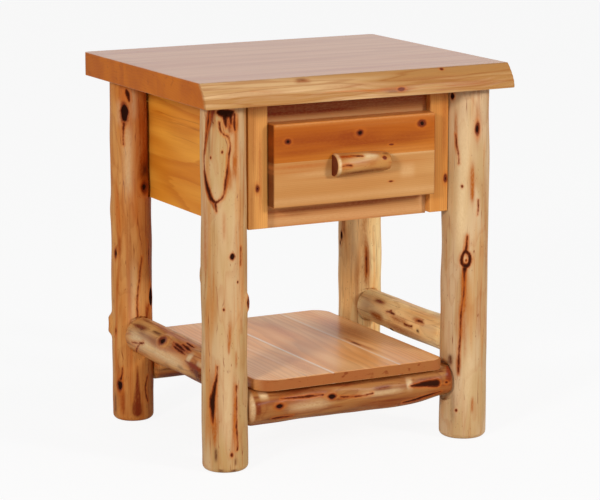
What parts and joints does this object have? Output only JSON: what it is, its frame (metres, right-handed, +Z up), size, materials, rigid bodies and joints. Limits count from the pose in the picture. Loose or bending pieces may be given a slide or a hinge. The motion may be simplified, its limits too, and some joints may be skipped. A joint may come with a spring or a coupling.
{
  "type": "nightstand",
  "caption": "Peeled-log nightstand with a live-edge plank top, a drawer on telescopic slides in a board case, a log pull and a low open shelf between log rails.",
  "frame": {"origin": "on the floor, under the centre of the tabletop", "axes": "+Z up, +X to the right of someone facing the drawer, -Y out of the front"},
  "size_m": [0.586, 0.502, 0.66],
  "materials": {
    "peeled_log": "clear satin varnish over peeled cedar",
    "tabletop_boards": "clear satin varnish over planed cedar",
    "shelf_boards": "clear satin varnish over planed cedar",
    "case_panels": "clear satin varnish over planed cedar",
    "face_frame": "clear satin varnish over planed cedar",
    "drawer_front": "clear satin varnish over planed cedar",
    "drawer_box": "thin clear varnish over sanded softwood",
    "inner_blocks": "bare planed softwood",
    "dowels": "bare hardwood",
    "slide_steel": "bright zinc",
    "slide_balls": "polished",
    "screws": "yellow zinc"
  },
  "bodies": {
    "frame": {"back_panel": "case_panels", "bottom_frame_rail": "face_frame", "case_screws": "screws", "frame_dowels": "dowels", "front_stretcher": "peeled_log", "left_side_log": "peeled_log", "leg_front_left": "peeled_log", "leg_front_right": "peeled_log", "leg_rear_left": "peeled_log", "leg_rear_right": "peeled_log", "leg_screws": "screws", "packer_screws": "screws", "rear_stretcher": "peeled_log", "right_side_log": "peeled_log", "shelf_board_1": "shelf_boards", "shelf_board_2": "shelf_boards", "shelf_board_3": "shelf_boards", "shelf_board_4": "shelf_boards", "shelf_screws": "screws", "side_panel_left": "case_panels", "side_panel_right": "case_panels", "slide_cabinet_member_left": "slide_steel", "slide_cabinet_member_right": "slide_steel", "slide_cabinet_screws": "screws", "slide_packer_left": "inner_blocks", "slide_packer_right": "inner_blocks", "stile_left": "face_frame", "stile_right": "face_frame", "top_board_front": "tabletop_boards", "top_board_middle_front": "tabletop_boards", "top_board_middle_rear": "tabletop_boards", "top_board_rear": "tabletop_boards", "top_cleat_left": "inner_blocks", "top_cleat_right": "inner_blocks", "top_frame_rail": "face_frame", "top_screws": "screws"},
    "slide_left": {"slide_middle_member_left": "slide_steel", "slide_balls_left": "slide_balls"},
    "slide_right": {"slide_middle_member_right": "slide_steel", "slide_balls_right": "slide_balls"},
    "drawer": {"drawer_bottom": "drawer_box", "drawer_box_back": "drawer_box", "drawer_box_front": "drawer_box", "drawer_front_lower": "drawer_front", "drawer_front_screws": "screws", "drawer_front_upper": "drawer_front", "drawer_side_left": "drawer_box", "drawer_side_right": "drawer_box", "log_pull": "peeled_log", "pull_screws": "screws", "slide_drawer_member_left": "slide_steel", "slide_drawer_member_right": "slide_steel", "slide_drawer_screws": "screws"}
  },
  "joints": [
    {"name": "drawer_slide", "type": "slide", "parent": "frame", "child": "drawer", "axis": [0, -1, 0], "range_m": [0, 0.3]},
    {"name": "left_slide_travel", "type": "slide", "parent": "frame", "child": "slide_left", "axis": [0, -1, 0], "range_m": [0, 0.15]},
    {"name": "right_slide_travel", "type": "slide", "parent": "frame", "child": "slide_right", "axis": [0, -1, 0], "range_m": [0, 0.15]}
  ],
  "couplings": [
    {"joint": "left_slide_travel", "follows": "drawer_slide", "ratio": 0.5},
    {"joint": "right_slide_travel", "follows": "drawer_slide", "ratio": 0.5}
  ]
}
